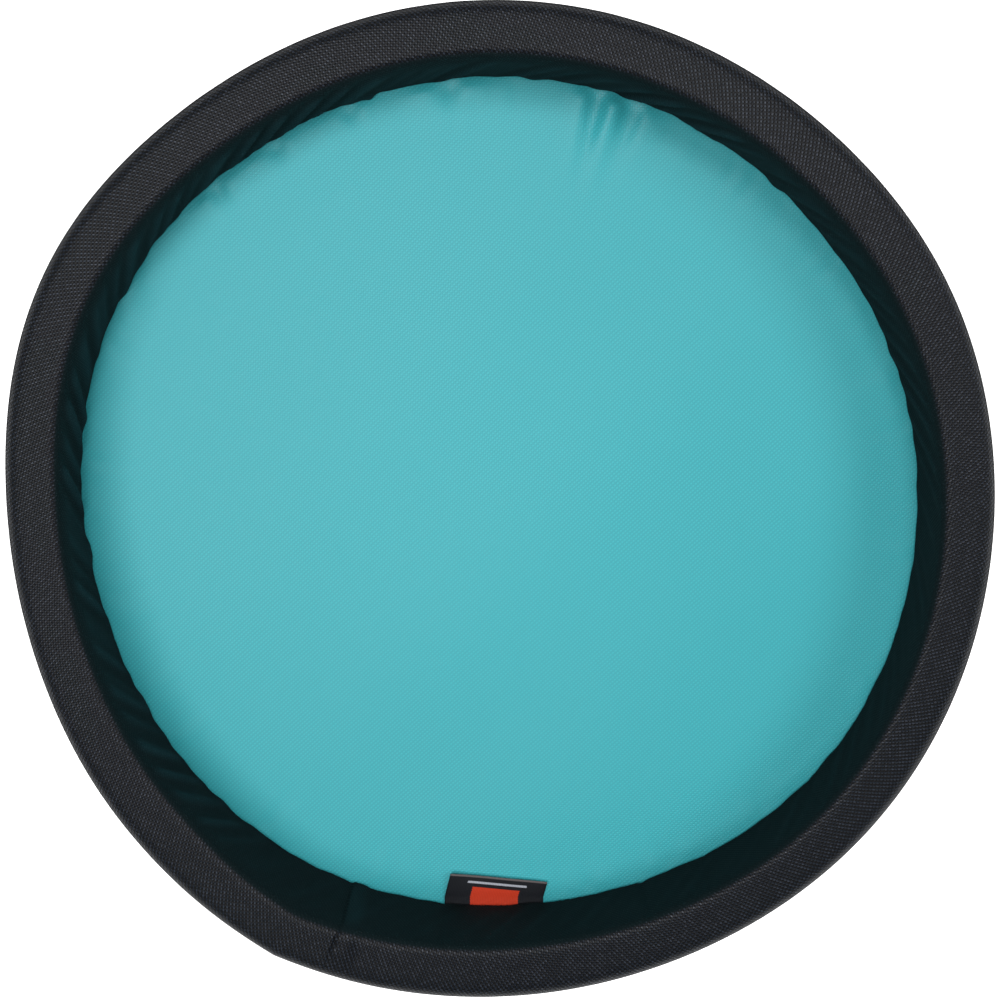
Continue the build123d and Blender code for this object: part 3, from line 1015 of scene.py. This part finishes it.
class DISC_OT_label(bpy.types.Operator):
    """Fold the label and catch it in the seam"""

    bl_idname = "disc.label"
    bl_label = "Label"

    # The free part's two sides, its sideways lean at the long side's length, and its lift in degrees
    long_side = 6.9 * MM
    short_side = 4.3 * MM
    lean = 1.6 * MM
    lift = 10.0
    sheet_length = 0.024
    # The fold's radius, half the room between the layers in the seam, and how far under the hinge the flap
    # starts
    gap = 0.17 * MM
    seam_gap = 0.02 * MM
    root = 0.25 * MM
    columns = 53
    tail_rows = 9
    flap_rows = 22
    fold_steps = 8

    def folded_sheet(self, length, half):
        """The ribbon's middle as (length, height) from the hinge, in rows along it: the lower layer out of
        the seam, half a turn round the fold, and the upper layer back. length has one value for each
        column."""
        tail = HINGE.y - TAIL_LOW.y
        inside = np.linspace(-tail, 0, self.tail_rows, endpoint=False)[:, None] + 0 * length
        out = np.linspace(0, 1, self.flap_rows)[:, None]
        reach = out * (length - self.gap)
        layers = []
        for side in (-1, 1):
            closed = half + self.seam_gap
            opened = side * (closed + (self.gap - half) * smooth(0, 1, out)) + 0 * reach
            flat = np.stack([inside, side * closed + 0 * inside], -1)
            layers.append(np.concatenate([flat, np.stack([reach, opened], -1)]))
        turn = np.radians(np.linspace(-90, 90, self.fold_steps + 1))[1:-1, None]
        fold = np.stack([length - self.gap + self.gap * np.cos(turn),
                         self.gap * np.sin(turn) + 0 * length], -1)
        return np.concatenate([layers[0], fold, layers[1][::-1]])

    def execute(self, context):
        """A ribbon that comes out of the seam, lies out along the lifted flap, turns over a small fold at the
        free end and comes back on top of itself. Both faces stand half a thickness off folded_sheet, whose
        length shrinks from the long to the short side."""
        half = context.scene.disc_sizes.ribbon / 2
        width = TAIL_HIGH.x - TAIL_LOW.x
        middle = (TAIL_HIGH.x + TAIL_LOW.x) / 2
        across = np.linspace(-0.5, 0.5, self.columns)
        length = self.long_side + (self.short_side - self.long_side) * (across + 0.5)
        sheet = self.folded_sheet(length, half)
        along = np.gradient(sheet, axis=0)
        along /= np.linalg.norm(along, axis=-1, keepdims=True)
        normal = np.stack([along[..., 1], -along[..., 0]], -1)
        steps = np.linalg.norm(np.diff(sheet, axis=0), axis=-1)
        distance = np.cumsum(np.r_[np.zeros((1, self.columns)), steps], axis=0)
        from_fold = distance - distance[self.tail_rows + self.flap_rows + (self.fold_steps - 1) // 2]

        def place(section):
            """From the label's own (length, height) to the frame: bent up at the hinge, skewed and curled."""
            s, h = section[..., 0], section[..., 1]
            share = np.clip(s, 0, None) / self.long_side
            angle = np.radians(self.lift) * smooth(-1.0 * MM, 1.5 * MM, s)
            base = (TAIL_LOW.z + TAIL_HIGH.z) / 2
            start = base + (HINGE.z - self.root - base) * smooth(-1.2 * MM, 0.6 * MM, s)
            curl = 0.35 * MM * (2 * across) ** 2 * share
            wave = 0.12 * MM * np.sin(across * 9 + 0.6) * share
            x = middle + across * width + self.lean * share
            y = HINGE.y + s * np.cos(angle) - h * np.sin(angle)
            z = start + s * np.sin(angle) + h * np.cos(angle)
            return np.stack([x, y, z + curl + wave], -1)

        outer = place(sheet + normal * half)
        inner = place(sheet - normal * half)
        count = len(sheet)
        points = np.concatenate([outer, inner[::-1]]).reshape(-1, 3)
        faces = [tuple(f) for f in grid_quads(2 * count, self.columns, wrap_rows=True)]
        column = np.tile(across * width, (2 * count + 1, 1))
        both = np.concatenate([from_fold, from_fold[::-1], from_fold[:1]])
        uvs = corner_values(np.stack([column, both], -1))
        row = np.arange(count - 1)
        mirror = 2 * count - 1 - row
        for side, order in ((0, 1), (self.columns - 1, -1)):
            quads = np.stack([row, row + 1, mirror - 1, mirror], -1) * self.columns + side
            faces += [tuple(q[::order]) for q in quads]
            edge = np.stack([np.full(count, across[side] * width), from_fold[:, side]], -1)
            corners = np.stack([edge[:-1], edge[1:], edge[1:], edge[:-1]], 1)
            uvs = np.concatenate([uvs, corners[:, ::order].reshape(-1, 2)])
        piece = make_piece("label", points, faces, label_cloth(), uvs)
        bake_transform(piece)
        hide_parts("label_flap", "label_tail")
        return {"FINISHED"}


class DISC_OT_stage(bpy.types.Operator):
    """Lay a pale floor, hang soft lights and set the camera above the disc"""

    bl_idname = "disc.stage"
    bl_label = "Stage"

    # The floor: a flat middle's radius, and how far and how high its rim sweeps
    flat = 4.0
    sweep = 1.4
    tall = 2.4
    sides = 72
    # Soft lamps: (name, place, size, power)
    lamps = (
        ("top_light", (-0.55, -0.15, 2.3), 1.5, 37.5),
        ("side_light", (1.45, 0.3, 1.8), 1.0, 16.5),
        ("back_light", (0.1, 0.75, 2.2), 0.6, 14.0),
    )
    sky_strength = 0.16
    view_angle = 36.5
    camera_place = (0, 0.056, 0.3831)
    camera_reach = 0.0546  # how far towards -Y the camera's axis runs on its way down

    def lay_floor(self):
        """A round floor whose rim curves up as a quarter of an ellipse."""
        shader = Shader("floor")
        tone = shader.noise(shader.node("TexCoord", output=3), 3.0, 2.0)
        pale = shader.blend(tone, (0.93, 0.93, 0.93), (0.95, 0.95, 0.95))
        material = shader.finish(Base_Color=pale, Roughness=0.9, Specular_IOR_Level=0.1,
                                 Emission_Color=(1, 1, 1, 1), Emission_Strength=0.55)
        swing = np.radians(np.linspace(0, 90, 13))
        radii = np.r_[self.flat / 2, self.flat + self.sweep * np.sin(swing)]
        heights = np.r_[0, self.tall * (1 - np.cos(swing))] + FLOOR_Z
        step = np.arange(self.sides)
        rings = around(step * 360 / self.sides, radii[:, None], heights[:, None] + 0 * step)
        points = np.concatenate([rings.reshape(-1, 3), [[0, 0, FLOOR_Z]]])
        faces = [tuple(f[::-1]) for f in grid_quads(len(radii), self.sides, wrap_columns=True)]
        faces += [(len(points) - 1, int(a), int(a + 1) % self.sides) for a in step]
        make_piece("floor", points, faces, material)

    def execute(self, context):
        """The floor, three soft lamps that face the disc, a white sky, and a camera that looks almost
        straight down."""
        self.lay_floor()
        for name, position, size, power in self.lamps:
            data = bpy.data.lights.new(name, "AREA")
            data.shape = "DISK"
            data.size = size
            data.energy = power
            lamp = bpy.data.objects.new(name, data)
            lamp.location = position
            lamp.rotation_euler = (-Vector(position)).to_track_quat("-Z", "Y").to_euler()
            context.scene.collection.objects.link(lamp)
        world = bpy.data.worlds.new("sky")
        world.use_nodes = True
        background = world.node_tree.nodes["Background"]
        background.inputs["Color"].default_value = (1, 1, 1, 1)
        background.inputs["Strength"].default_value = self.sky_strength
        context.scene.world = world
        context.scene.view_settings.view_transform = "Standard"
        data = bpy.data.cameras.new("camera")
        data.sensor_width = 36
        data.angle = math.radians(self.view_angle)
        camera = bpy.data.objects.new("camera", data)
        camera.location = self.camera_place
        camera.rotation_euler = (-math.atan2(self.camera_reach, self.camera_place[2]), 0, 0)
        context.scene.collection.objects.link(camera)
        context.scene.camera = camera
        return {"FINISHED"}


OPERATORS = (
    DISC_OT_stage,
    DISC_OT_panel,
    DISC_OT_foam,
    DISC_OT_sleeve,
    DISC_OT_binding,
    DISC_OT_stitching,
    DISC_OT_label,
)


class DISC_PT_pieces(bpy.types.Panel):
    """The disc's pieces, sizes and colours"""

    bl_idname = "DISC_PT_pieces"
    bl_label = "Flying Disc"
    bl_space_type = "VIEW_3D"
    bl_region_type = "UI"
    bl_category = "Flying Disc"

    def draw(self, context):
        for group in (context.scene.disc_sizes, context.scene.disc_colours):
            box = self.layout.box()
            for name in type(group).__annotations__:
                box.prop(group, name)
        for operator in OPERATORS:
            self.layout.operator(operator.bl_idname)


CLASSES = (DiscSizes, DiscColours, *OPERATORS, DISC_PT_pieces)


def register():
    for each in CLASSES:
        bpy.utils.register_class(each)
    bpy.types.Scene.disc_sizes = bpy.props.PointerProperty(type=DiscSizes)
    bpy.types.Scene.disc_colours = bpy.props.PointerProperty(type=DiscColours)


def unregister():
    del bpy.types.Scene.disc_colours
    del bpy.types.Scene.disc_sizes
    for each in reversed(CLASSES):
        bpy.utils.unregister_class(each)


def main():
    register()
    for operator in OPERATORS:
        getattr(bpy.ops.disc, operator.bl_idname.split(".")[1])()


if __name__ == "__main__":
    main()
